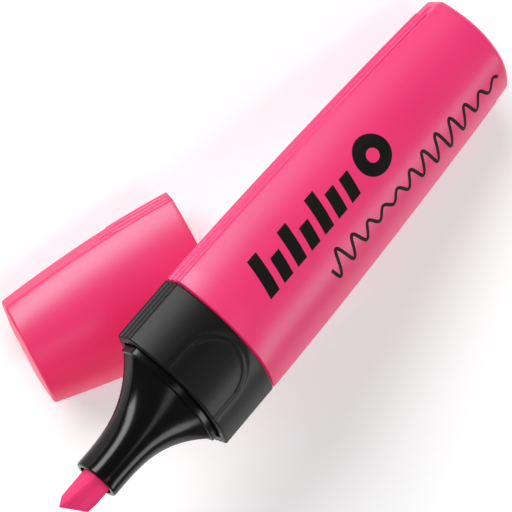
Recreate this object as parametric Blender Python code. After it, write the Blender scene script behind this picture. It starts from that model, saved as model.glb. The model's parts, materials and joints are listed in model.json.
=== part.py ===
"""Flat chisel-tip highlighter, uncapped: the pen leans on its own cap, which lies flat on the table.

Metres, +Z up, +X along the pen towards its writing tip. The origin is on the table, under the middle
of the whole object. The pen and the cap are each built straight along X in a frame of their own, and
an empty puts each one in its resting place. In the pen's frame x = 0 is where the barrel meets the
collar; in the cap's frame x = 0 is the cap's mouth and x grows towards its closed end.
"""

import math

import bmesh
import bpy

MM = 0.001
GAP = 0.3 * MM  # play between pieces that touch or lie inside one another

# The section that the barrel, the collar and the cap's mouth share: two crowned wide faces and two
# narrow sides
WIDTH = 26.0 * MM
THICKNESS = 15.2 * MM
SIDE = 4.4 * MM  # height of a narrow side
CROWN_POWER = 2.2  # how squarely a wide face is crowned: 2 is a parabola
RIB = 0.3 * MM  # how far the ribs of the side band stand proud
CROWN_STEPS = 11  # facets across a crowned face; odd, so that a narrow flat runs along its middle
SIDE_STEPS = 8  # facets up a narrow side: three ribs and the two grooves between them
HOLLOW_SIDE = 0.5  # a hollow's sides stop short of the outer ones by this share of the wall
LEAST_SIDE = 0.55 * MM  # half the height that a side keeps in a rounded end
SHELL_STEPS = 4  # rings along a shell behind its ribs
HOLLOW_STEPS = 5  # rings along the straight part of a shell's hollow
HOLLOW_STRAIGHT = 0.93  # share of the hollow's depth where its end starts to round off
HOLLOW_ROUND = 0.8 * MM
END_STEPS = 4  # facets round a closed end's edge
DOME_STEPS = 2
DOME_REACH = 2.6 * MM  # how far in from the rounded edge the dome ends in a flat

BARREL_LENGTH = 69.6 * MM
BARREL_WALL = 1.3 * MM
TAIL_WIDTH = 0.782  # size of the section at the tail, as a share of its size at the collar
TAIL_THICKNESS = 0.935
BARREL_TAPER = 1.7  # the power of the taper along the barrel
TAIL_ROUND = 1.25 * MM
TAIL_DOME = 0.7 * MM
BARREL_BAND = 65.0 * MM  # where the side band stops

COLLAR_LENGTH = 12.8 * MM
COLLAR_RIM = 1.5 * MM
COLLAR_EDGE = 0.35 * MM  # width of the bevel round the front shoulder
SPIGOT_LENGTH = 5.0 * MM  # the collar's tongue inside the barrel
SPIGOT_WALL = 1.0 * MM
SEAT = 2.7 * MM  # depth at which the collar's bore steps out to take the nose

NOSE_BACK = 3.0 * MM
NOSE_WALL = 1.4 * MM
NOSE_SIDE = 1.7 * MM  # half the height of the nose's narrow sides
PLINTH_HEIGHT = 1.3 * MM
PLINTH_DRAFT = 0.35 * MM
PLINTH_STEP = 0.35 * MM
NOSE_LENGTH = 19.7 * MM  # from the collar's shoulder to the end of the nozzle
FLARE_LENGTH = 17.0 * MM
FLARE_POWER = 2.85  # how fast the flare leaves the plinth
FLARE_STEPS = 8
FLARE_CROWDING = 1.3  # its rings crowd towards the plinth, where it turns fastest
NOZZLE_RADIUS = 4.05 * MM
NOZZLE_BORE = 3.2 * MM
NOZZLE_EDGE = 0.35 * MM
BORE_LENGTH = 9.9 * MM

NIB_WIDTH = 4.0 * MM
NIB_BACK = 2.1 * MM  # the nib's faces behind and in front of the pen's middle plane
NIB_FRONT = 2.3 * MM
NIB_CORNER = 0.45 * MM
NIB_TAIL = -10.0 * MM
NIB_POINT = 3.0 * MM  # length of the taper at the nib's tail
NIB_POINT_HALF = 0.65 * MM
NIB_POINT_CORNER = 0.2 * MM
NIB_REACH = 39.9 * MM  # the long corner of the chisel edge
CHISEL_LOW = 0.1 * MM  # height of the chisel edge's back at the long corner
CHISEL_EDGE = 0.45 * MM
CHISEL_SLANT = 2.6 * MM  # how much shorter the chisel edge's other corner is
CHISEL_RISE = 0.95 * MM  # and how much higher
FRONT_BEVEL = 6.0 * MM  # length of the long bevel, from the long corner
BACK_BEVEL = 2.3 * MM

CORE_RADIUS = 5.2 * MM
CORE_FRONT = -6.0 * MM
CORE_TAIL = -62.0 * MM
CORE_SOCKET = 3.1 * MM  # radius of the socket that the nib's tail sits in
CORE_SOCKET_DEPTH = 4.4 * MM
FILM = 0.2 * MM
FILM_OVERHANG = 0.5 * MM

CAP_LENGTH = 34.0 * MM
CAP_WALL = 1.3 * MM
CAP_END_WIDTH = 0.757
CAP_END_THICKNESS = 0.852
CAP_TAPER = 1.85
CAP_ROUND = 0.5 * MM
CAP_DOME = 0.5 * MM
CAP_BAND = 12.2 * MM
SEAL_RADIUS = NOZZLE_RADIUS + 0.1 * MM  # it closes on the nozzle when the cap is on
SEAL_WALL = 0.6 * MM
SEAL_START = 15.0 * MM
SEAL_END = 28.8 * MM
SEAL_FLANGE = 0.7 * MM
SEAL_FLANGE_RADIUS = 5.1 * MM
SEAL_LEAD = 1.5 * MM  # length of the tapered lead-in at the seal's mouth
SEAL_LIP = 0.18 * MM  # and the wall that is left there

ROUND_STEPS = 32  # facets round a turned piece
SHARP_ANGLE = 35.0

# Resting places. The pen's tail touches the table and its collar leans on the cap.
PEN_LEAN = 15.3
PEN_PLACE = (14.87 * MM, 4.81 * MM, 24.76 * MM)
CAP_TURN = -14.8
CAP_TILT = 1.8
CAP_PLACE = (8.77 * MM, 0.01 * MM, 7.82 * MM)

PINK = (0.85, 0.05, 0.22, 1.0)
DEEP_PINK = (0.75, 0.03, 0.17, 1.0)
BLACK = (0.02, 0.02, 0.02, 1.0)
WHITE = (0.8, 0.8, 0.78, 1.0)


def clear_scene():
    for thing in list(bpy.data.objects):
        bpy.data.objects.remove(thing, do_unlink=True)


def material(name, colour, roughness):
    made = bpy.data.materials.new(name)
    made.use_nodes = True
    shader = made.node_tree.nodes["Principled BSDF"]
    shader.inputs["Base Color"].default_value = colour
    shader.inputs["Roughness"].default_value = roughness
    shader.inputs["Metallic"].default_value = 0.0
    return made


def section(half_width, half_thickness, half_side, rib=0.0):
    """Points (y, z) round the flat section, anticlockwise seen from +X, starting on the +Y side."""
    shares = [math.cos(math.pi * i / CROWN_STEPS) for i in range(CROWN_STEPS + 1)]
    falls = [abs(share) ** CROWN_POWER for share in shares]
    slope = (half_thickness - half_side) / (1.0 - min(falls))
    crown = [(half_width * u, half_side + slope * (1.0 - fall)) for u, fall in zip(shares, falls)]
    # a narrow side, from its front edge to its back edge: rib, groove, rib, groove, rib
    side = []
    for i in range(SIDE_STEPS + 1):
        proud = 0.0 if i % 4 == 2 else rib
        side.append((half_width + proud, half_side * (1.0 - 2.0 * i / SIDE_STEPS)))
    left = [(-y, z) for y, z in side]
    right = [(y, -z) for y, z in side]
    back = [(-y, -z) for y, z in crown[1:-1]]
    return crown[1:-1] + left + back + right


def circle(radius, count=ROUND_STEPS):
    turn = 2.0 * math.pi / count
    return [(radius * math.cos(turn * i), radius * math.sin(turn * i)) for i in range(count)]


def ring(x, outline):
    return [(x, y, z) for y, z in outline]


def skin(name, rings, look, parent, tube=False):
    """One closed body through rings of equal count. A tube's last ring joins its first one; any
    other body is closed by a flat face at each end."""
    bm = bmesh.new()
    loops = [[bm.verts.new(point) for point in points] for points in rings]
    pairs = list(zip(loops, loops[1:]))
    if tube:
        pairs.append((loops[-1], loops[0]))
    else:
        bm.faces.new(loops[0])
        bm.faces.new(loops[-1])
    for first, second in pairs:
        for i in range(len(first)):
            j = (i + 1) % len(first)
            bm.faces.new((first[i], first[j], second[j], second[i]))
    bmesh.ops.recalc_face_normals(bm, faces=bm.faces)
    mesh = bpy.data.meshes.new(name)
    bm.to_mesh(mesh)
    bm.free()
    mesh.shade_smooth()
    mesh.set_sharp_from_angle(angle=math.radians(SHARP_ANGLE))
    mesh.materials.append(look)
    made = bpy.data.objects.new(name, mesh)
    bpy.context.scene.collection.objects.link(made)
    made.parent = parent
    return made


def tapered(share, width_end, thickness_end, power):
    """Half sizes of the section at a share of the way along a tapering piece."""
    fall = share**power
    wide = 1.0 - (1.0 - width_end) * fall
    thick = 1.0 - (1.0 - thickness_end) * fall
    return WIDTH / 2 * wide, THICKNESS / 2 * thick, SIDE / 2 * thick


def rounded_end(length, radius, dome):
    """(distance along, inset) pairs that round a closed end off from a wall into a dome."""
    pairs = []
    for i in range(END_STEPS + 1):
        angle = math.pi / 2 * i / END_STEPS
        pairs.append((length - dome - radius * (1.0 - math.sin(angle)), radius * (1.0 - math.cos(angle))))
    for i in range(1, DOME_STEPS + 1):
        share = i / DOME_STEPS
        pairs.append((length - dome * (1.0 - share) ** 2, radius + DOME_REACH * share))
    return pairs


def shell_rings(length, wall, end, band, direction, sizes):
    """Rings of a closed-ended shell, from its inner end out round its mouth to its outer end. sizes
    gives the half sizes at a share of the length, end its rounded end, band where the ribs stop."""
    stations = [band * i / 3 for i in range(4)] + [band + RIB]
    spare = end[0][0] - stations[-1]
    stations += [band + RIB + spare * i / SHELL_STEPS for i in range(1, SHELL_STEPS + 1)]
    outer = []
    for x in stations:
        outer.append(ring(direction * x, section(*sizes(x / length), rib=RIB if x <= band else 0.0)))
    for x, inset in end[1:]:
        half = [size - inset for size in sizes(x / length)]
        half[2] = max(half[2], LEAST_SIDE)
        outer.append(ring(direction * x, section(*half)))
    inner = []
    shares = [HOLLOW_STRAIGHT * i / HOLLOW_STEPS for i in range(HOLLOW_STEPS + 1)] + [1.0]
    for share in shares:
        x = (length - wall) * share
        inset = wall + (HOLLOW_ROUND if share == 1.0 else 0.0)
        half = [size - inset for size in sizes(x / length)]
        half[2] = SIDE / 2 - HOLLOW_SIDE * wall
        inner.append(ring(direction * x, section(*half)))
    return inner[::-1] + outer


def make_barrel(look, parent):
    def sizes(share):
        return tapered(share, TAIL_WIDTH, TAIL_THICKNESS, BARREL_TAPER)

    end = rounded_end(BARREL_LENGTH, TAIL_ROUND, TAIL_DOME)
    rings = shell_rings(BARREL_LENGTH, BARREL_WALL, end, BARREL_BAND, -1, sizes)
    return skin("barrel", rings, look, parent)


def nose_section(inset=0.0):
    """The plinth of the nose, which fills the collar's bore less the play."""
    rim = COLLAR_RIM + GAP + inset
    return WIDTH / 2 - rim, THICKNESS / 2 - rim, NOSE_SIDE


def make_collar(look, parent):
    full = (WIDTH / 2, THICKNESS / 2, SIDE / 2)
    tongue = [size - BARREL_WALL - GAP for size in full]
    tongue[2] = SIDE / 2 - HOLLOW_SIDE * (BARREL_WALL + GAP)
    bore = [size - SPIGOT_WALL for size in tongue]
    seat = [size + GAP for size in nose_section()]
    trimmed = [size - COLLAR_EDGE for size in full]
    rings = [
        ring(GAP, section(*full, rib=RIB)),
        ring(COLLAR_LENGTH - COLLAR_EDGE, section(*full, rib=RIB)),
        ring(COLLAR_LENGTH, section(*trimmed, rib=RIB)),
        ring(COLLAR_LENGTH, section(*seat)),
        ring(SEAT, section(*seat)),
        ring(SEAT, section(*bore)),
        ring(-SPIGOT_LENGTH, section(*bore)),
        ring(-SPIGOT_LENGTH, section(*tongue)),
        ring(GAP, section(*tongue)),
    ]
    return skin("collar", rings, look, parent, tube=True)


def to_round(outline, half_width, half_thickness, radius):
    """The points of a circle that the points of a flat outline move to."""
    moved = []
    for y, z in outline:
        angle = math.atan2(z / half_thickness, y / half_width)
        moved.append((radius * math.cos(angle), radius * math.sin(angle)))
    return moved


def between(first, second, share):
    return [(a + (c - a) * share, b + (d - b) * share) for (a, b), (c, d) in zip(first, second)]


def make_nose(look, parent):
    base = nose_section()
    top = nose_section(PLINTH_DRAFT)
    foot = nose_section(PLINTH_DRAFT + PLINTH_STEP)
    inside = nose_section(NOSE_WALL)
    plinth_top = COLLAR_LENGTH + PLINTH_HEIGHT
    end = COLLAR_LENGTH + NOSE_LENGTH
    flat = section(*foot)
    tube = to_round(flat, foot[0], foot[1], NOZZLE_RADIUS)
    rings = [
        ring(NOSE_BACK, section(*base)),
        ring(COLLAR_LENGTH, section(*base)),
        ring(plinth_top, section(*top)),
    ]
    for i in range(FLARE_STEPS + 1):
        share = (i / FLARE_STEPS) ** FLARE_CROWDING
        x = plinth_top + FLARE_LENGTH * share
        rings.append(ring(x, between(tube, flat, (1.0 - share) ** FLARE_POWER)))
    hollow = section(*inside)
    bore = to_round(hollow, inside[0], inside[1], NOZZLE_BORE)
    rim = to_round(flat, foot[0], foot[1], NOZZLE_RADIUS - NOZZLE_EDGE)
    rings.append(ring(end - NOZZLE_EDGE, tube))
    rings.append(ring(end, rim))
    rings.append(ring(end, bore))
    rings.append(ring(end - BORE_LENGTH, bore))
    rings.append(ring(COLLAR_LENGTH, hollow))
    rings.append(ring(NOSE_BACK, hollow))
    return skin("nose", rings, look, parent, tube=True)


def nib_ring(x, back, front, corner):
    """A block's section from z = back to z = front, with its long edges cut off."""
    half = NIB_WIDTH / 2
    return [
        (x, half - corner, front), (x, corner - half, front), (x, -half, front - corner),
        (x, -half, back + corner), (x, corner - half, back), (x, half - corner, back),
        (x, half, back + corner), (x, half, front - corner),
    ]


def make_nib(look, parent):
    front_start = NIB_REACH - FRONT_BEVEL
    back_start = NIB_REACH - BACK_BEVEL
    chisel_top = CHISEL_LOW + CHISEL_EDGE
    # the front bevel has fallen this far where the back one starts
    fallen = chisel_top + (NIB_FRONT - chisel_top) * BACK_BEVEL / FRONT_BEVEL
    rings = [
        nib_ring(NIB_TAIL, -NIB_POINT_HALF, NIB_POINT_HALF, NIB_POINT_CORNER),
        nib_ring(NIB_TAIL + NIB_POINT, -NIB_BACK, NIB_FRONT, NIB_CORNER),
        nib_ring(front_start, -NIB_BACK, NIB_FRONT, NIB_CORNER),
        nib_ring(back_start, -NIB_BACK, fallen, NIB_CORNER),
        nib_ring(NIB_REACH, CHISEL_LOW, chisel_top, CHISEL_EDGE / 4),
    ]
    # the chisel edge is slanted: from the long corner at -Y it runs back and up to the short one
    slanted = []
    for points in rings:
        share = max(0.0, (points[0][0] - front_start) / FRONT_BEVEL)
        moved = []
        for x, y, z in points:
            across = share * (y + NIB_WIDTH / 2) / NIB_WIDTH
            moved.append((x - CHISEL_SLANT * across, y, z + CHISEL_RISE * across))
        slanted.append(moved)
    return skin("nib", slanted, look, parent)


def make_reservoir(look, parent):
    socket_end = CORE_FRONT - CORE_SOCKET_DEPTH
    rings = [
        ring(socket_end, circle(CORE_SOCKET)),
        ring(CORE_FRONT, circle(CORE_SOCKET)),
        ring(CORE_FRONT, circle(CORE_RADIUS)),
        ring(CORE_TAIL, circle(CORE_RADIUS)),
    ]
    return skin("ink_reservoir", rings, look, parent)


def make_film(look, parent):
    inner = CORE_RADIUS + FILM
    outer = inner + FILM
    front = CORE_FRONT + FILM_OVERHANG
    back = CORE_TAIL - FILM_OVERHANG
    rings = [
        ring(front, circle(inner)),
        ring(front, circle(outer)),
        ring(back, circle(outer)),
        ring(back, circle(inner)),
    ]
    return skin("reservoir_film", rings, look, parent, tube=True)


def cap_sizes(share):
    return tapered(share, CAP_END_WIDTH, CAP_END_THICKNESS, CAP_TAPER)


def make_cap(look, parent):
    end = rounded_end(CAP_LENGTH, CAP_ROUND, CAP_DOME)
    rings = shell_rings(CAP_LENGTH, CAP_WALL, end, CAP_BAND, 1, cap_sizes)
    return skin("cap_shell", rings, look, parent)


def make_seal(look, parent):
    outer = SEAL_RADIUS + SEAL_WALL
    rings = [
        ring(SEAL_START, circle(outer - SEAL_LIP)),
        ring(SEAL_START, circle(outer)),
        ring(SEAL_END - SEAL_FLANGE, circle(outer)),
        ring(SEAL_END - SEAL_FLANGE, circle(SEAL_FLANGE_RADIUS)),
        ring(SEAL_END, circle(SEAL_FLANGE_RADIUS)),
        ring(SEAL_END, circle(SEAL_RADIUS)),
        ring(SEAL_START + SEAL_LEAD, circle(SEAL_RADIUS)),
    ]
    return skin("cap_seal", rings, look, parent, tube=True)


def frame(name, place, turn_y, turn_z):
    empty = bpy.data.objects.new(name, None)
    bpy.context.scene.collection.objects.link(empty)
    empty.location = place
    empty.rotation_euler = (0.0, math.radians(turn_y), math.radians(turn_z))
    return empty


def main():
    clear_scene()
    pink = material("pink_plastic", PINK, 0.35)
    deep = material("pink_fibre", DEEP_PINK, 0.8)
    satin = material("satin_black", BLACK, 0.45)
    gloss = material("gloss_black", BLACK, 0.2)
    fibre = material("ink_fibre", DEEP_PINK, 0.9)
    clear = material("film", WHITE, 0.3)
    pen = frame("pen_frame", PEN_PLACE, -PEN_LEAN, 0.0)
    cap = frame("cap_frame", CAP_PLACE, CAP_TILT, CAP_TURN)
    make_barrel(pink, pen)
    make_collar(satin, pen)
    make_nose(gloss, pen)
    make_nib(deep, pen)
    make_reservoir(fibre, pen)
    make_film(clear, pen)
    make_cap(pink, cap)
    make_seal(pink, cap)
    bpy.context.view_layer.update()


main()
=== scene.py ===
# %% [markdown]
# # A flat highlighter with its cap off
#
# The real object is a flat, crowned marker. A pink barrel holds the ink, a black collar joins it to
# a glossy nose with a round nozzle, and a slanted fibre nib stands in the nozzle. The cap lies
# loose under the collar. Each of these is its own piece here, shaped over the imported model, which
# says where everything is.

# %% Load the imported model
import json
import math

import bmesh
import bpy
from mathutils import Matrix, Vector


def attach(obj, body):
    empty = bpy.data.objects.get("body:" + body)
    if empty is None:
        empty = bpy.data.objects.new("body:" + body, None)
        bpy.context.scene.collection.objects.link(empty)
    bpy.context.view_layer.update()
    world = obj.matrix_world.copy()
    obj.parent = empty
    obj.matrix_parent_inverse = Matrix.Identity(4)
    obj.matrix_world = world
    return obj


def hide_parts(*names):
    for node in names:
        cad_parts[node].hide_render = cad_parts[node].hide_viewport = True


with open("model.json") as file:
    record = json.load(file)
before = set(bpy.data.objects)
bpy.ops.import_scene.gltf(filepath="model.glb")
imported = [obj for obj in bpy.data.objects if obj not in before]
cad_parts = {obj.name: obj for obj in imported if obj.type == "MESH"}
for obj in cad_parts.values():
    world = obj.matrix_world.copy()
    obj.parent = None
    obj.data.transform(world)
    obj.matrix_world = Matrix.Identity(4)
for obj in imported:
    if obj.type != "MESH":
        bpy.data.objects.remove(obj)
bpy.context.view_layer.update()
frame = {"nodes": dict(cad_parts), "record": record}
MM = 0.001
print("nodes:", sorted(frame["nodes"]))

# %% [markdown]
# ## Two places to work in
#
# The pen leans and the cap is turned, so shaping them where they lie would need a slanted ruler.
# Instead, every piece is shaped level: +X runs along it towards the nib or the cap's closed end, +Z
# comes out of its printed face. Its finished mesh is then set into place. The places come from the
# faces that the record names, where the collar stops the cap and where the cap ends.

# %% Find the places of the pen and the cap
COLLAR_LENGTH = 12.8 * MM
CAP_LENGTH = 34.0 * MM
SHOULDER_OFFSET = 12.1 * MM
mounts = {mount["name"]: mount for mount in frame["record"]["mounts"]}


def placed(origin, along):
    """The matrix that lays a level piece along a direction, without rolling it."""
    across = Vector((0.0, 0.0, 1.0)).cross(along).normalized()
    turn = Matrix((along, across, along.cross(across))).transposed()
    return Matrix.Translation(origin) @ turn.to_4x4()


pen_along = Vector(mounts["cap_stop"]["axis"]).normalized()
shoulder = Vector(mounts["cap_stop"]["pos_m"])
pen_place = placed(shoulder - pen_along * COLLAR_LENGTH - Vector((0, SHOULDER_OFFSET, 0)), pen_along)
cap_along = Vector(mounts["cap_end"]["axis"]).normalized()
cap_place = placed(Vector(mounts["cap_end"]["pos_m"]) - cap_along * CAP_LENGTH, cap_along)
print("pen leans", round(math.degrees(math.asin(pen_along.z)), 1), "degrees")

# %% [markdown]
# ## Camera
#
# A long lens far away keeps the barrel's edges nearly parallel. The camera looks down on the table
# and is rolled, so that the pen lies slantwise across the frame with its nib down. It is set before
# any shaping, so that each piece can be looked at as soon as it is made.

# %% Camera
CAMERA_TURN = math.radians(-84.103)
CAMERA_RISE = math.radians(64.725)
CAMERA_ROLL = math.radians(132.02)
CAMERA_DISTANCE = 429.1 * MM
CAMERA_AIM = Vector((1.71, 1.65, 18.5)) * MM
CAMERA_LENS = 179.4
backwards = Vector((
    math.cos(CAMERA_RISE) * math.cos(CAMERA_TURN),
    math.cos(CAMERA_RISE) * math.sin(CAMERA_TURN),
    math.sin(CAMERA_RISE),
))
camera_data = bpy.data.cameras.new("camera")
camera_data.lens = CAMERA_LENS
camera_data.clip_start = 0.01
camera = bpy.data.objects.new("camera", camera_data)
bpy.context.scene.collection.objects.link(camera)
look = backwards.to_track_quat("Z", "Y").to_matrix() @ Matrix.Rotation(CAMERA_ROLL, 3, "Z")
camera.matrix_world = Matrix.Translation(CAMERA_AIM + backwards * CAMERA_DISTANCE) @ look.to_4x4()
bpy.context.scene.camera = camera
print("camera stands", round(CAMERA_DISTANCE * 1000), "mm away")

# %% [markdown]
# ## Table and light
#
# A pale table and three soft boxes make a plain studio. The long box on the near side draws the
# bright band down each crowned face, a thin strip overhead fills, and a card behind the pen lifts
# the far half of the barrel. A dim, even sky and a faint glow of the table itself keep the shadows
# open.

# %% Table and light
FLOOR_SIZE = 6.0
BOX_DISTANCE = 0.7
BOX_LENGTH = 0.6
bpy.ops.object.select_all(action="DESELECT")
bpy.ops.mesh.primitive_plane_add(size=FLOOR_SIZE)
floor = bpy.context.object
floor.name = floor.data.name = "table"
floor_finish = bpy.data.materials.new("table_white")
floor_finish.use_nodes = True
floor_shader = floor_finish.node_tree.nodes["Principled BSDF"]
floor_shader.inputs["Base Color"].default_value = (0.9, 0.9, 0.9, 1.0)
floor_shader.inputs["Roughness"].default_value = 0.9
floor_shader.inputs["Specular IOR Level"].default_value = 0.1
floor_shader.inputs["Emission Color"].default_value = (1.0, 1.0, 1.0, 1.0)
floor_shader.inputs["Emission Strength"].default_value = 0.25
floor.data.materials.append(floor_finish)


def soft_box(name, turn, rise, tall, watts):
    """A rectangular light that faces the pen, long side level."""
    data = bpy.data.lights.new(name, "AREA")
    data.shape = "RECTANGLE"
    data.size = BOX_LENGTH
    data.size_y = tall
    data.energy = watts
    turn, rise = math.radians(turn), math.radians(rise)
    away = Vector((math.cos(rise) * math.cos(turn), math.cos(rise) * math.sin(turn), math.sin(rise)))
    box = bpy.data.objects.new(name, data)
    bpy.context.scene.collection.objects.link(box)
    box.matrix_world = (
        Matrix.Translation(CAMERA_AIM + away * BOX_DISTANCE)
        @ away.to_track_quat("Z", "Y").to_matrix().to_4x4()
    )


soft_box("near_box", -92, 30, 0.24, 6.0)
soft_box("over_box", 80, 79, 0.12, 0.5)
soft_box("far_card", 110, 28, 0.20, 2.0)
sky = bpy.data.worlds.new("studio")
sky.use_nodes = True
sky.node_tree.nodes["Background"].inputs["Color"].default_value = (1.0, 1.0, 1.0, 1.0)
sky.node_tree.nodes["Background"].inputs["Strength"].default_value = 0.18
bpy.context.scene.world = sky
bpy.context.scene.view_settings.view_transform = "Standard"

# %% [markdown]
# ## Finishes
#
# Moulded plastic is never one flat colour. Its pigment drifts a little across the part, its skin
# has a very fine grain from the mould, and its gloss varies with both. The helper below builds that
# from two noises in the piece's own coordinates, and each finish sets its colours, gloss and grain.
# Highlighter pink fluoresces, so the three pinks also glow a little. That glow is partly the real
# fluorescence and partly painted light that keeps the red bright in shade; the cap's own copy of the
# pink glows most, painted light that lifts its shaded side.
# The blacks mirror less than a plain plastic would.

# %% A finish from two noises


def finish(name, dark, light, roughness, spread=0.05, drift=60.0, grain=2500.0, bump=0.05,
           stretch=(1.0, 1.0, 1.0)):
    """A principled material whose colour drifts from dark to light and whose skin has a grain."""
    made = bpy.data.materials.new(name)
    made.use_nodes = True
    nodes, links = made.node_tree.nodes, made.node_tree.links
    shader = nodes["Principled BSDF"]
    place = nodes.new("ShaderNodeTexCoord")
    mapping = nodes.new("ShaderNodeMapping")
    mapping.inputs["Scale"].default_value = stretch
    links.new(place.outputs["Object"], mapping.inputs["Vector"])
    pigment = nodes.new("ShaderNodeTexNoise")
    pigment.inputs["Scale"].default_value = drift
    pigment.inputs["Detail"].default_value = 3.0
    links.new(mapping.outputs["Vector"], pigment.inputs["Vector"])
    colour = nodes.new("ShaderNodeValToRGB")
    colour.color_ramp.elements[0].position = 0.3
    colour.color_ramp.elements[0].color = (*dark, 1.0)
    colour.color_ramp.elements[1].position = 0.7
    colour.color_ramp.elements[1].color = (*light, 1.0)
    links.new(pigment.outputs["Fac"], colour.inputs["Fac"])
    links.new(colour.outputs["Color"], shader.inputs["Base Color"])
    skin = nodes.new("ShaderNodeTexNoise")
    skin.inputs["Scale"].default_value = grain
    skin.inputs["Detail"].default_value = 4.0
    links.new(mapping.outputs["Vector"], skin.inputs["Vector"])
    gloss = nodes.new("ShaderNodeMapRange")
    gloss.inputs["To Min"].default_value = roughness - spread
    gloss.inputs["To Max"].default_value = roughness + spread
    links.new(skin.outputs["Fac"], gloss.inputs["Value"])
    links.new(gloss.outputs["Result"], shader.inputs["Roughness"])
    relief = nodes.new("ShaderNodeBump")
    relief.inputs["Strength"].default_value = bump
    relief.inputs["Distance"].default_value = 0.05 * MM
    links.new(skin.outputs["Fac"], relief.inputs["Height"])
    links.new(relief.outputs["Normal"], shader.inputs["Normal"])
    return made


pink_plastic = finish("pink_plastic", (0.38, 0.020, 0.100), (0.42, 0.026, 0.115), 0.36)
# The cap's pink is a copy with a darker base that carries the strongest glow, painted light that
# lifts the cap's shaded side.
cap_pink_painted_glow = finish("cap_pink_painted_glow", (0.24, 0.020, 0.085), (0.28, 0.026, 0.100), 0.36)
satin_black = finish("satin_black", (0.0030, 0.0030, 0.0031), (0.0045, 0.0045, 0.0047), 0.38,
                     grain=4000.0, bump=0.10)
gloss_black = finish("gloss_black", (0.0015, 0.0015, 0.0016), (0.0025, 0.0025, 0.0026), 0.17,
                     spread=0.03)
pink_fibre = finish("pink_fibre", (0.34, 0.008, 0.070), (0.46, 0.020, 0.115), 0.85, grain=3500.0,
                    drift=900.0, bump=0.5, stretch=(0.15, 1.0, 1.0))
ink_fibre = finish("ink_fibre", (0.60, 0.010, 0.085), (0.75, 0.020, 0.120), 0.9, grain=3000.0,
                   drift=600.0, bump=0.5, stretch=(0.1, 1.0, 1.0))
clear_film = finish("film", (0.75, 0.74, 0.72), (0.82, 0.82, 0.80), 0.2)
print_black = finish("print_black", (0.006, 0.006, 0.006), (0.009, 0.008, 0.008), 0.45)
# The glow below is partly the pink's real fluorescence and partly painted light: it keeps the red
# bright in shade, and the cap's stronger glow lifts its shaded side.
for pink, painted_glow_colour, strength in ((pink_plastic, (1.0, 0.020, 0.130, 1.0), 0.38),
                                    (cap_pink_painted_glow, (1.0, 0.012, 0.075, 1.0), 0.54),
                                    (pink_fibre, (1.0, 0.020, 0.130, 1.0), 0.34)):
    glow = pink.node_tree.nodes["Principled BSDF"]
    glow.inputs["Emission Color"].default_value = painted_glow_colour
    glow.inputs["Emission Strength"].default_value = strength
    glow.inputs["Specular Tint"].default_value = (0.30, 0.95, 1.0, 1.0)
for black, level in ((satin_black, 0.38), (gloss_black, 0.34), (print_black, 0.15)):
    shine = black.node_tree.nodes["Principled BSDF"]
    shine.inputs["Specular IOR Level"].default_value = level
    shine.inputs["IOR"].default_value = 1.38
print("finishes:", len(bpy.data.materials))

# %% [markdown]
# ## One outline for all the flat pieces
#
# Barrel, collar, nose and cap share one cross-section: two crowned wide faces and two narrow sides,
# with softly rounded corners between them. Each narrow side carries three fine ridges. A circle's
# points are slid onto this outline, because no plain primitive has it.

# %% The outline
WIDTH = 26.0 * MM
THICKNESS = 15.2 * MM
SIDE = 4.4 * MM
CROWN_POWER = 2.2
RIDGE_HEIGHT = 0.3 * MM
RIDGE_HALF = 0.42 * MM
RIDGE_PITCH = 1.5 * MM
CORNER = 0.35 * MM
FACE_STEPS = 56
SIDE_STEPS = 44
CORNER_STEPS = 5


def outline(sizes, ridges=(0.0, 0.0, 0.0), face_steps=FACE_STEPS, corner=CORNER):
    """Points (y, z) round the section, anticlockwise seen from +X, starting at the +Y corner.
    sizes are half the width, half the thickness and half the side's height."""
    corner = min(corner, 0.7 * sizes[2])
    wide, thick, side = sizes[0] - corner, sizes[1] - corner, sizes[2] - 0.5 * corner
    rise = thick - side
    face = []
    for i in range(face_steps + 1):
        u = 1.0 - 2.0 * i / face_steps
        slope = rise * CROWN_POWER * abs(u) ** (CROWN_POWER - 1.0) * math.copysign(1.0, u) / wide
        long = math.hypot(1.0, slope)
        face.append((wide * u + corner * slope / long,
                     side + rise * (1.0 - abs(u) ** CROWN_POWER) + corner / long))
    tilt = math.atan2(wide, rise * CROWN_POWER)
    arc = [tilt * (1.0 - i / CORNER_STEPS) for i in range(1, CORNER_STEPS + 1)]
    upper = [(wide + corner * math.cos(a), side + corner * math.sin(a)) for a in arc]
    flank = []
    for i in range(1, SIDE_STEPS):
        z = side * (1.0 - 2.0 * i / SIDE_STEPS)
        proud = 0.0
        for height, middle in zip(ridges, (RIDGE_PITCH, 0.0, -RIDGE_PITCH)):
            across = (z - middle * sizes[2] / (SIDE / 2)) / RIDGE_HALF
            proud += height * math.sqrt(max(0.0, 1.0 - across * across))
        flank.append((sizes[0] + proud, z))
    lower = [(y, -z) for y, z in reversed(upper)]
    near = upper + flank + lower
    return (face + [(-y, z) for y, z in near] + [(-y, -z) for y, z in face]
            + [(y, -z) for y, z in near])


print("points round the section:", len(outline((WIDTH / 2, THICKNESS / 2, SIDE / 2))))

# %% [markdown]
# ## Pulling a section along
#
# A moulded shell is made here as it would be by hand: a filled circle is added, its points are slid
# onto the first outline, and its face is extruded again and again, each time onto the next outline.
# Starting deep inside, coming out over the rim and running back along the outside gives a closed
# shell with a real wall. A sleeve that is open at both ends starts from a bare circle and is welded
# where its last outline meets its first.

# %% Extrude through outlines


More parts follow.
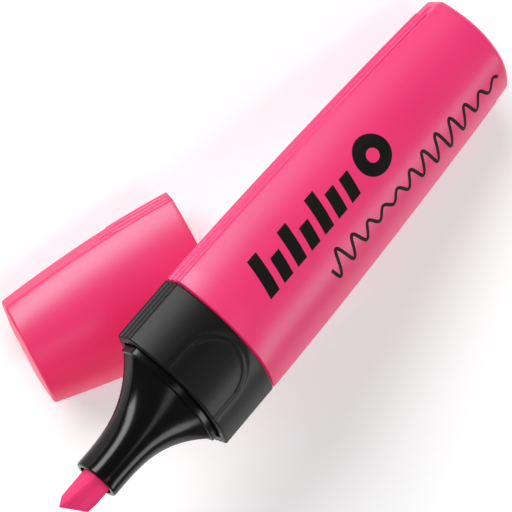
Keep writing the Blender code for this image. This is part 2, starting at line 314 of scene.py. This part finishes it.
def pull(name, sections, open_ended=False):
    """A closed piece through sections, each an x and a list of points (y, z) of equal count."""
    bpy.ops.object.select_all(action="DESELECT")
    fill = "NOTHING" if open_ended else "NGON"
    bpy.ops.mesh.primitive_circle_add(vertices=len(sections[0][1]), fill_type=fill)
    piece = bpy.context.object
    piece.name = piece.data.name = name
    bpy.ops.object.mode_set(mode="EDIT")
    bpy.ops.mesh.select_all(action="SELECT")
    mesh = bmesh.from_edit_mesh(piece.data)
    order = mesh.verts.layers.int.new("order")
    mesh.verts.ensure_lookup_table()
    for i, vert in enumerate(mesh.verts):
        vert[order] = i
    for step, (x, points) in enumerate(sections):
        if step:
            bpy.ops.mesh.extrude_region_move()
            mesh = bmesh.from_edit_mesh(piece.data)
            order = mesh.verts.layers.int["order"]
        for vert in mesh.verts:
            if vert.select:
                vert.co = (x, *points[vert[order]])
    mesh.verts.layers.int.remove(order)
    bmesh.update_edit_mesh(piece.data)
    bpy.ops.mesh.select_all(action="SELECT")
    if open_ended:
        bpy.ops.mesh.remove_doubles(threshold=0.001 * MM)
    bpy.ops.mesh.normals_make_consistent(inside=False)
    bpy.ops.object.mode_set(mode="OBJECT")
    return piece


def settle(piece, place, material, body, slot, *nodes, angle=32.0):
    """Shades a finished piece, lays it in place, and says what it rides on and stands for."""
    bpy.context.view_layer.objects.active = piece
    piece.select_set(True)
    bpy.ops.object.shade_smooth_by_angle(angle=math.radians(angle))
    piece.data.transform(place)
    piece.data.materials.clear()
    piece.data.materials.append(material)
    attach(piece, body)
    if nodes:
        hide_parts(*nodes)
    print(piece.name, "has", len(piece.data.polygons), "faces")


# %% [markdown]
# ## Tapering and rounding
#
# The barrel narrows towards its tail and the cap towards its closed end, slowly at first and then
# faster. Their rims are broken by a tiny rounding, and their ends turn through a rounded edge into
# a shallow dome. The ridges on the sides stop short of the ends, the middle one a little later than
# its two neighbours.

# %% Taper, rim, dome and ridge ends
RIM = 0.18 * MM
RIM_STEPS = 3
HOLLOW_STEPS = 12
RIDGE_STEPS = 14
RIDGE_END_STEPS = 30
TAPER_STEPS = 8
ROUND_STEPS = 7
DOME_STEPS = 9
DOME_MIDDLE = 0.3 * MM


def tapered(share, width_end, thickness_end, power):
    """Half sizes of the section at a share of a tapering piece's length."""
    fall = min(max(share, 0.0), 1.0) ** power
    wide = 1.0 - (1.0 - width_end) * fall
    thick = 1.0 - (1.0 - thickness_end) * fall
    return WIDTH / 2 * wide, THICKNESS / 2 * thick, SIDE / 2 * thick


def inset(sizes, depth):
    """The same sizes, this far inside the wall."""
    return sizes[0] - depth, sizes[1] - depth, max(sizes[2] - 0.6 * depth, 0.08 * SIDE)


def ridge_heights(x, side_end, middle_end):
    """How proud each ridge is at x: full along the band, with rounded ends."""
    heights = []
    for end in (side_end, middle_end, side_end):
        past = (x - (end - RIDGE_HALF)) / RIDGE_HALF
        heights.append(RIDGE_HEIGHT * math.sqrt(max(0.0, 1.0 - max(past, 0.0) ** 2)))
    return heights


def shell(name, length, wall, sizes_at, edge, dome, side_end, middle_end, direction, end_corner):
    """A shell with a rounded, domed end, pulled from inside its end out over its rim. Its long
    corners soften to end_corner behind the ridges."""

    def corner_at(x):
        share = max(0.0, (x - side_end / 2) / (length - side_end / 2))
        return CORNER + (end_corner - CORNER) * share

    sections = []
    inner_depth = length - dome - wall
    for i in range(HOLLOW_STEPS + 1):
        share = 1.0 - i / HOLLOW_STEPS
        extra = edge * 0.6 if i == 0 else 0.0
        sizes = inset(sizes_at(inner_depth * share / length), wall + extra)
        sections.append((inner_depth * share, outline(sizes)))
    sections[-1] = (RIM, sections[-1][1])
    mouth = sizes_at(0.0)
    for i in range(RIM_STEPS + 1):
        angle = math.pi / 2 * i / RIM_STEPS
        sections.append((RIM * (1 - math.sin(angle)),
                         outline(inset(mouth, wall - RIM * (1 - math.cos(angle))))))
    heights = ridge_heights(0.0, side_end, middle_end)
    for i in range(RIM_STEPS + 1):
        angle = math.pi / 2 * i / RIM_STEPS
        sections.append((RIM * (1 - math.cos(angle)),
                         outline(inset(mouth, RIM * (1 - math.sin(angle))), heights)))
    start = length - dome - edge
    coarse = side_end / (RIDGE_STEPS + 2)
    stops = [coarse * i for i in range(1, RIDGE_STEPS + 1)]
    fine = (middle_end + RIDGE_HEIGHT - stops[-1]) / RIDGE_END_STEPS
    stops += [stops[-1] + fine * i for i in range(1, RIDGE_END_STEPS + 1)]
    spare = (start - stops[-1]) / TAPER_STEPS
    stops += [stops[-1] + spare * i for i in range(1, TAPER_STEPS + 1)]
    for x in stops:
        heights = ridge_heights(x, side_end, middle_end)
        sections.append((x, outline(sizes_at(x / length), heights, corner=corner_at(x))))
    for i in range(1, ROUND_STEPS + 1):
        angle = math.pi / 2 * i / ROUND_STEPS
        x = start + edge * math.sin(angle)
        sizes = inset(sizes_at(x / length), edge * (1 - math.cos(angle)))
        sections.append((x, outline(sizes, corner=corner_at(x))))
    flat = sizes_at(1.0)
    for i in range(1, DOME_STEPS + 1):
        share = i / DOME_STEPS
        depth = edge + (flat[1] - edge - DOME_MIDDLE) * share
        sections.append((length - dome * (1 - share) ** 2,
                         outline(inset(flat, depth), corner=end_corner)))
    return pull(name, [(direction * x, points) for x, points in sections])


# %% [markdown]
# ## Barrel
#
# The barrel is one thin moulding, open where the collar plugs in. It could be a stretched cube, but
# its faces are crowned and its taper is curved, so it is pulled through outlines.

# %% Barrel
BARREL_LENGTH = 69.6 * MM
BARREL_WALL = 1.3 * MM
TAIL_WIDTH = 0.782
TAIL_THICKNESS = 0.935
BARREL_TAPER = 1.7
TAIL_ROUND = 1.25 * MM
TAIL_DOME = 0.7 * MM
TAIL_CORNER = 0.8 * MM
BARREL_RIDGES = 65.0 * MM
BARREL_MIDDLE_RIDGE = 66.8 * MM


def barrel_sizes(share):
    return tapered(share, TAIL_WIDTH, TAIL_THICKNESS, BARREL_TAPER)


barrel = shell("barrel_shell", BARREL_LENGTH, BARREL_WALL, barrel_sizes, TAIL_ROUND, TAIL_DOME,
               BARREL_RIDGES, BARREL_MIDDLE_RIDGE, -1, TAIL_CORNER)
settle(barrel, pen_place, pink_plastic, "pen", "pink_plastic", "barrel")

# %% [markdown]
# ## Cap
#
# The cap is the same kind of shell, shorter and more tapered, with a nearly flat end.

# %% Cap
CAP_WALL = 1.3 * MM
CAP_END_WIDTH = 0.757
CAP_END_THICKNESS = 0.852
CAP_TAPER = 1.85
CAP_ROUND = 0.5 * MM
CAP_DOME = 0.5 * MM
CAP_CORNER = 1.3 * MM
CAP_RIDGES = 12.2 * MM
CAP_MIDDLE_RIDGE = 14.2 * MM


def cap_sizes(share):
    return tapered(share, CAP_END_WIDTH, CAP_END_THICKNESS, CAP_TAPER)


cap = shell("cap_body", CAP_LENGTH, CAP_WALL, cap_sizes, CAP_ROUND, CAP_DOME,
            CAP_RIDGES, CAP_MIDDLE_RIDGE, 1, CAP_CORNER)
settle(cap, cap_place, cap_pink_painted_glow, "cap", "pink_plastic", "cap_shell")

# %% [markdown]
# ## Collar
#
# The black sleeve has a thumb rest on each wide face: a shallow arch-shaped hollow with a low bead
# round it. The sleeve is pulled in short steps, and its face points are raised along the bead and
# lowered inside it. Behind the barrel's rim it carries a thinner spigot, and in front it holds the
# nose.

# %% Collar
GAP = 0.3 * MM
COLLAR_RIM = 1.5 * MM
SPIGOT_LENGTH = 5.0 * MM
SPIGOT_WALL = 1.0 * MM
SEAT = 2.7 * MM
SEAT_BEVEL = 0.1 * MM
NOSE_SIDE = 1.7 * MM
ARCH_TOP = 1.5 * MM
ARCH_HALF = 6.35 * MM
ARCH_SLOPE = 1.0 * MM
ARCH_DEPTH = 0.16 * MM
BEAD_HALF = 0.9 * MM
BEAD_HEIGHT = 0.12 * MM
FRONT_EDGE = 0.35 * MM
ARCH_FACE_STEPS = 116
FULL = (WIDTH / 2, THICKNESS / 2, SIDE / 2)
RIDGED = (RIDGE_HEIGHT,) * 3


def thumb_rest(x, y):
    """How far the face is lowered at a point of the collar: less than zero on the bead."""
    centre = ARCH_TOP + ARCH_HALF
    outside = math.hypot(y, min(x - centre, 0.0)) - ARCH_HALF
    share = min(max(-outside / ARCH_SLOPE, 0.0), 1.0)
    near_bead = max(0.0, 1.0 - (outside / BEAD_HALF) ** 2)
    return ARCH_DEPTH * share * share * (3.0 - 2.0 * share) - BEAD_HEIGHT * near_bead ** 2


def collar_section(x, sizes, ridges=(0.0, 0.0, 0.0), pressed=False):
    points = outline(sizes, ridges, ARCH_FACE_STEPS)
    if pressed:
        points = [(y, z - math.copysign(thumb_rest(x, y), z) if abs(z) > SIDE / 2 else z)
                  for y, z in points]
    return x, points


def nose_sizes(depth=0.0):
    """Half sizes of the nose's plinth, which fills the collar's bore less the play."""
    rim = COLLAR_RIM + GAP + depth
    return WIDTH / 2 - rim, THICKNESS / 2 - rim, NOSE_SIDE


tongue = (FULL[0] - BARREL_WALL - GAP, FULL[1] - BARREL_WALL - GAP,
          FULL[2] - (BARREL_WALL + GAP) / 2)
bore = inset(tongue, SPIGOT_WALL)
seat = tuple(size + GAP for size in nose_sizes())
COLLAR_STEPS = 62
EDGE_STEPS = 4
start = GAP + RIM
reach = COLLAR_LENGTH - FRONT_EDGE - start
sleeve = [collar_section(GAP, inset(FULL, RIM), RIDGED),
          collar_section(GAP + 0.3 * RIM, inset(FULL, 0.3 * RIM), RIDGED)]
for i in range(COLLAR_STEPS + 1):
    x = start + reach * i / COLLAR_STEPS
    sleeve.append(collar_section(x, FULL, RIDGED, pressed=True))
for i in range(1, EDGE_STEPS + 1):
    angle = math.pi / 2 * i / EDGE_STEPS
    x = COLLAR_LENGTH - FRONT_EDGE * (1 - math.sin(angle))
    sizes = inset(FULL, FRONT_EDGE * (1 - math.cos(angle)))
    sleeve.append(collar_section(x, sizes, RIDGED, pressed=True))
sleeve += [
    collar_section(COLLAR_LENGTH, inset(seat, -SEAT_BEVEL)),
    collar_section(COLLAR_LENGTH - SEAT_BEVEL, seat),
    collar_section(SEAT, seat),
    collar_section(SEAT, bore),
    collar_section(-SPIGOT_LENGTH, bore),
    collar_section(-SPIGOT_LENGTH, tongue),
    collar_section(GAP, tongue),
    sleeve[0],
]
collar = pull("collar_sleeve", sleeve, open_ended=True)
settle(collar, pen_place, satin_black, "pen", "satin_black", "collar")

# %% [markdown]
# ## Nose
#
# The nose starts as a low plinth with the collar's outline and flows through a hollow curve into a
# round nozzle. Each outline is blended from the flat plinth towards a circle, and the blend falls
# with a power of the distance, which gives the quick sweep of the real flare.

# %% Nose
NOSE_BACK = 3.0 * MM
NOSE_WALL = 1.4 * MM
PLINTH_HEIGHT = 1.3 * MM
PLINTH_DRAFT = 0.35 * MM
PLINTH_STEP = 0.35 * MM
PLINTH_EDGE = 0.3 * MM
FLARE_LENGTH = 17.0 * MM
FLARE_POWER = 2.85
NOSE_END = COLLAR_LENGTH + 19.7 * MM
NOZZLE_RADIUS = 4.05 * MM
NOZZLE_BORE = 3.2 * MM
NOZZLE_EDGE = 0.35 * MM
FLARE_STEPS = 34
PLINTH_STEPS = 5
NOZZLE_STEPS = 4
NOSE_CORNER = 1.1 * MM
PLINTH_TOP = COLLAR_LENGTH + PLINTH_HEIGHT


def rounded(points, sizes, radius):
    """The points of a circle that the points of a flat outline move to."""
    angles = [math.atan2(z / sizes[1], y / sizes[0]) for y, z in points]
    return [(radius * math.cos(a), radius * math.sin(a)) for a in angles]


def blended(first, second, share):
    return [(a + (c - a) * share, b + (d - b) * share) for (a, b), (c, d) in zip(first, second)]


def nose_outline(depth=0.0):
    return outline(nose_sizes(depth), corner=NOSE_CORNER)


foot = nose_sizes(PLINTH_DRAFT + PLINTH_STEP)
flat = outline(foot, corner=NOSE_CORNER)
hollow_sizes = nose_sizes(NOSE_WALL)
hollow = outline(hollow_sizes)
tube = rounded(flat, foot, NOZZLE_RADIUS)
nozzle_bore = rounded(hollow, hollow_sizes, NOZZLE_BORE)
cone = [(NOSE_BACK, nose_outline()),
        (PLINTH_TOP - PLINTH_EDGE, nose_outline(PLINTH_DRAFT - PLINTH_EDGE))]
for i in range(1, PLINTH_STEPS + 1):
    angle = math.pi / 2 * i / PLINTH_STEPS
    cone.append((PLINTH_TOP - PLINTH_EDGE * (1 - math.sin(angle)),
                 nose_outline(PLINTH_DRAFT - PLINTH_EDGE * math.cos(angle))))
for i in range(FLARE_STEPS + 1):
    share = i / FLARE_STEPS
    cone.append((PLINTH_TOP + FLARE_LENGTH * share, blended(tube, flat, (1 - share) ** FLARE_POWER)))
for i in range(NOZZLE_STEPS + 1):
    angle = math.pi / 2 * i / NOZZLE_STEPS
    radius = NOZZLE_RADIUS - NOZZLE_EDGE * (1 - math.cos(angle))
    cone.append((NOSE_END - NOZZLE_EDGE * (1 - math.sin(angle)), rounded(flat, foot, radius)))
cone += [
    (NOSE_END, nozzle_bore),
    (PLINTH_TOP + FLARE_LENGTH / 2, nozzle_bore),
    (COLLAR_LENGTH, hollow),
    (NOSE_BACK, hollow),
    cone[0],
]
nose = pull("nose_cone", cone, open_ended=True)
settle(nose, pen_place, gloss_black, "pen", "gloss_black", "nose")

# %% [markdown]
# ## Nib
#
# The nib is a stiff block of pressed fibre, ground to a slanted chisel. It is cut the way it would
# be ground: a long block with softened edges, then one slanting cut for the long bevel, a short one
# behind it, and a last one across for the slanted edge.

# %% Nib
NIB_WIDTH = 4.0 * MM
NIB_BACK = 2.1 * MM
NIB_FRONT = 2.3 * MM
NIB_TAIL = -10.0 * MM
NIB_REACH = 39.9 * MM
CHISEL_LOW = 0.1 * MM
CHISEL_EDGE = 0.45 * MM
CHISEL_SLANT = 2.6 * MM
CHISEL_RISE = 0.95 * MM
FRONT_BEVEL = 6.0 * MM
BACK_BEVEL = 2.3 * MM
NIB_CORNER = 0.45 * MM
WORN_EDGE = 0.1 * MM
bpy.ops.object.select_all(action="DESELECT")
bpy.ops.mesh.primitive_cube_add(size=1.0, location=((NIB_TAIL + NIB_REACH) / 2, 0.0,
                                                    (NIB_FRONT - NIB_BACK) / 2))
nib = bpy.context.object
nib.name = nib.data.name = "chisel_nib"
nib.scale = (NIB_REACH - NIB_TAIL, NIB_WIDTH, NIB_FRONT + NIB_BACK)
bpy.ops.object.transform_apply(location=True, rotation=True, scale=True)
bpy.ops.object.mode_set(mode="EDIT")
bpy.ops.mesh.select_all(action="DESELECT")
block = bmesh.from_edit_mesh(nib.data)
for edge in block.edges:
    along = edge.verts[0].co - edge.verts[1].co
    edge.select = abs(along.x) > abs(along.y) + abs(along.z)
bmesh.update_edit_mesh(nib.data)
bpy.ops.mesh.bevel(offset=NIB_CORNER, segments=4)


def grind(first, second, third):
    """Cuts off what lies on the outer side of the plane through three points, and closes the cut."""
    first, second, third = Vector(first), Vector(second), Vector(third)
    normal = (second - first).cross(third - first).normalized()
    bpy.ops.mesh.select_all(action="SELECT")
    bpy.ops.mesh.bisect(plane_co=first, plane_no=normal, use_fill=True, clear_outer=True)


half = NIB_WIDTH / 2
long_low = Vector((NIB_REACH, -half, CHISEL_LOW))
short_low = Vector((NIB_REACH - CHISEL_SLANT, half, CHISEL_LOW + CHISEL_RISE))
edge_height = Vector((0.0, 0.0, CHISEL_EDGE))
grind(long_low + edge_height, short_low + edge_height, (NIB_REACH - FRONT_BEVEL, -half, NIB_FRONT))
grind(short_low, long_low, (NIB_REACH - BACK_BEVEL, -half, -NIB_BACK))
grind(short_low, long_low + edge_height, long_low)
bpy.ops.mesh.select_all(action="DESELECT")
bpy.ops.mesh.edges_select_sharp(sharpness=math.radians(25.0))
bpy.ops.mesh.bevel(offset=WORN_EDGE, segments=2)
bpy.ops.mesh.select_all(action="SELECT")
bpy.ops.mesh.normals_make_consistent(inside=False)
bpy.ops.object.mode_set(mode="OBJECT")
settle(nib, pen_place, pink_fibre, "pen", "pink_fibre", "nib")

# %% [markdown]
# ## Cap liner
#
# Deep in the cap, a thin sleeve closes on the nozzle so that the nib doesn't dry. It is round, so
# its outlines are plain circles.

# %% Cap liner
LINER_RADIUS = NOZZLE_RADIUS + 0.1 * MM
LINER_WALL = 0.6 * MM
LINER_FLANGE = 5.1 * MM
LINER_STEPS = 96
LINER_START = 15.0 * MM
LINER_END = 28.8 * MM
LINER_LEAD = 1.5 * MM
LINER_LIP = 0.42 * MM
FLANGE_HEIGHT = 0.7 * MM
MOUTH_BEVEL = 0.15 * MM


def circle(radius):
    angles = [2.0 * math.pi * i / LINER_STEPS for i in range(LINER_STEPS)]
    return [(radius * math.cos(a), radius * math.sin(a)) for a in angles]


outer = LINER_RADIUS + LINER_WALL
mouth_radius = LINER_RADIUS + LINER_LIP
liner = pull("cap_liner", [
    (LINER_START, circle(mouth_radius)),
    (LINER_START + MOUTH_BEVEL, circle(outer)),
    (LINER_END - FLANGE_HEIGHT, circle(outer)),
    (LINER_END - FLANGE_HEIGHT, circle(LINER_FLANGE)),
    (LINER_END, circle(LINER_FLANGE)),
    (LINER_END, circle(LINER_RADIUS)),
    (LINER_START + LINER_LEAD, circle(LINER_RADIUS)),
    (LINER_START, circle(mouth_radius)),
], open_ended=True)
settle(liner, cap_place, pink_plastic, "cap", "pink_plastic", "cap_seal")

# %% [markdown]
# ## Printed marks
#
# The real barrel carries printed marks. These are plain ones: a ring, a row of bold slanted bars,
# and a thin wavy pen line. Each is a flat sheet, pressed onto the crowned face with a shrinkwrap and
# given the thickness of an ink layer.

# %% Press a flat mark onto the barrel
INK = 0.02 * MM
INK_THICKNESS = 0.8 * INK


def press(mark, name):
    """Presses a flat mark, drawn above the level barrel, onto the crowned face."""
    mark.name = mark.data.name = name
    bpy.context.view_layer.objects.active = mark
    mark.data.transform(pen_place)
    wrap = mark.modifiers.new("wrap", "SHRINKWRAP")
    wrap.target = barrel
    wrap.wrap_method = "NEAREST_SURFACEPOINT"
    wrap.wrap_mode = "ABOVE_SURFACE"
    wrap.offset = INK
    bpy.ops.object.modifier_apply(modifier="wrap")
    skin = mark.modifiers.new("ink", "SOLIDIFY")
    skin.thickness = INK_THICKNESS
    skin.offset = -1.0
    bpy.ops.object.modifier_apply(modifier="ink")
    settle(mark, Matrix.Identity(4), print_black, "pen", "satin_black")


def face_height(x, y):
    """The height of the barrel's crowned face at a point of the level barrel."""
    wide, thick, side = barrel_sizes(-x / BARREL_LENGTH)
    return side + (thick - side) * (1.0 - abs(y / wide) ** CROWN_POWER)


# %% [markdown]
# ## Wavy pen line
#
# The line is one strip that follows a wave. A small plane is the first piece of it, and its end edge
# is extruded again and again, each time set across the wave's heading, which keeps the strip equally
# wide in the bends.

# %% Wavy pen line
LINE_START = -19.5 * MM
LINE_END = -66.0 * MM
LINE_WIDTH = 0.62 * MM
LINE_STEPS = 420
LINE_MIDDLE = 4.6 * MM
LINE_DRIFT = 0.9 * MM
SWELL = 2.5 * MM
SWELLS = 1.5
WAVES = 12.0


def wave(share):
    """A point of the pen line: a wave that swells, calms and drifts towards the far edge."""
    x = LINE_START + (LINE_END - LINE_START) * share
    swell = SWELL * (0.65 + 0.35 * math.cos(math.tau * SWELLS * share))
    y = LINE_MIDDLE + LINE_DRIFT * share + swell * math.sin(math.tau * WAVES * share)
    return Vector((x, y, 0.0))


bpy.ops.object.select_all(action="DESELECT")
bpy.ops.mesh.primitive_plane_add(size=LINE_WIDTH)
line = bpy.context.object
bpy.ops.object.mode_set(mode="EDIT")
stroke = bmesh.from_edit_mesh(line.data)
bpy.ops.mesh.select_all(action="DESELECT")


def set_edge(pair, share):
    here = wave(share)
    heading = (wave(share + 0.001) - wave(share - 0.001)).normalized()
    sideways = Vector((-heading.y, heading.x, 0.0)) * LINE_WIDTH / 2
    for vert, side in zip(pair, (sideways, -sideways)):
        vert.co = here + side
        vert.co.z = face_height(vert.co.x, vert.co.y)


side_layer = stroke.verts.layers.int.new("side")
first_pair = sorted((v for v in stroke.verts if v.co.x > 0), key=lambda v: -v.co.y)
last_pair = sorted((v for v in stroke.verts if v.co.x < 0), key=lambda v: -v.co.y)
for pair in (first_pair, last_pair):
    pair[0][side_layer] = 1
    pair[1][side_layer] = 2
set_edge(first_pair, 0.0)
set_edge(last_pair, 1.0 / LINE_STEPS)
for vert in last_pair:
    vert.select = True
stroke.select_flush(True)
bmesh.update_edit_mesh(line.data)
for step in range(2, LINE_STEPS + 1):
    bpy.ops.mesh.extrude_edges_move()
    stroke = bmesh.from_edit_mesh(line.data)
    side_layer = stroke.verts.layers.int["side"]
    chosen = sorted((v for v in stroke.verts if v.select), key=lambda v: v[side_layer])
    set_edge(chosen, step / LINE_STEPS)
bmesh.update_edit_mesh(line.data)
bpy.ops.object.mode_set(mode="OBJECT")
press(line, "print_wave")

# %% [markdown]
# ## Bold slanted bars
#
# Each bar is a grid, fine enough to bend over the crowned face. Its points are slid sideways with
# their distance from the bar's foot, so that it leans. The bars are joined into one mark.

# %% Bold slanted bars
BAR_WIDTH = 2.3 * MM
BAR_PITCH = 3.65 * MM
BAR_LEAN = math.radians(14.0)
BAR_TOP = -0.9 * MM
BARS_START = -9.15 * MM
bars = []
for i, tall in enumerate((6.9, 4.6, 6.4, 4.2, 6.4, 4.6, 4.4)):
    bpy.ops.object.select_all(action="DESELECT")
    bpy.ops.mesh.primitive_grid_add(x_subdivisions=8, y_subdivisions=24, size=1.0)
    bar = bpy.context.object
    for vert in bar.data.vertices:
        reach = (vert.co.y - 0.5) * tall * MM
        x = BARS_START - BAR_PITCH * i - vert.co.x * BAR_WIDTH + reach * math.tan(BAR_LEAN)
        y = BAR_TOP + reach
        vert.co = (x, y, face_height(x, y))
    bars.append(bar)
bpy.ops.object.select_all(action="DESELECT")
for bar in bars:
    bar.select_set(True)
bpy.context.view_layer.objects.active = bars[0]
bpy.ops.object.join()
press(bars[0], "print_bars")

# %% [markdown]
# ## Ring
#
# The ring is a bare circle whose edge is extruded and shrunk inwards a few times. Several narrow
# bands bend over the face better than one wide one.

# %% Ring
RING_CENTRE = (-38.4 * MM, -3.6 * MM)
RING_RADIUS = 3.6 * MM
BAND_SHRINKS = (0.93, 0.9, 0.9, 0.88, 0.86, 0.82, 0.75)
bpy.ops.object.select_all(action="DESELECT")
bpy.ops.mesh.primitive_circle_add(vertices=96, radius=RING_RADIUS, fill_type="NOTHING")
mark = bpy.context.object
bpy.ops.object.mode_set(mode="EDIT")
bpy.ops.mesh.select_all(action="SELECT")
for factor in BAND_SHRINKS:
    bpy.ops.mesh.extrude_edges_move()
    bpy.ops.transform.resize(value=(factor, factor, 1.0), center_override=(0.0, 0.0, 0.0))
bpy.ops.object.mode_set(mode="OBJECT")
for vert in mark.data.vertices:
    x = vert.co.x + RING_CENTRE[0]
    y = vert.co.y + RING_CENTRE[1]
    vert.co = (x, y, face_height(x, y))
press(mark, "print_ring")

# %% [markdown]
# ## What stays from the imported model
#
# The ink reservoir and its film are hidden inside the barrel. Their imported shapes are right, so
# they only get their finishes.

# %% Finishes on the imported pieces
for node, material in (("ink_reservoir", ink_fibre), ("reservoir_film", clear_film)):
    kept = frame["nodes"][node]
    if not kept.material_slots:
        kept.data.materials.append(material)
    for slot in kept.material_slots:
        slot.material = material
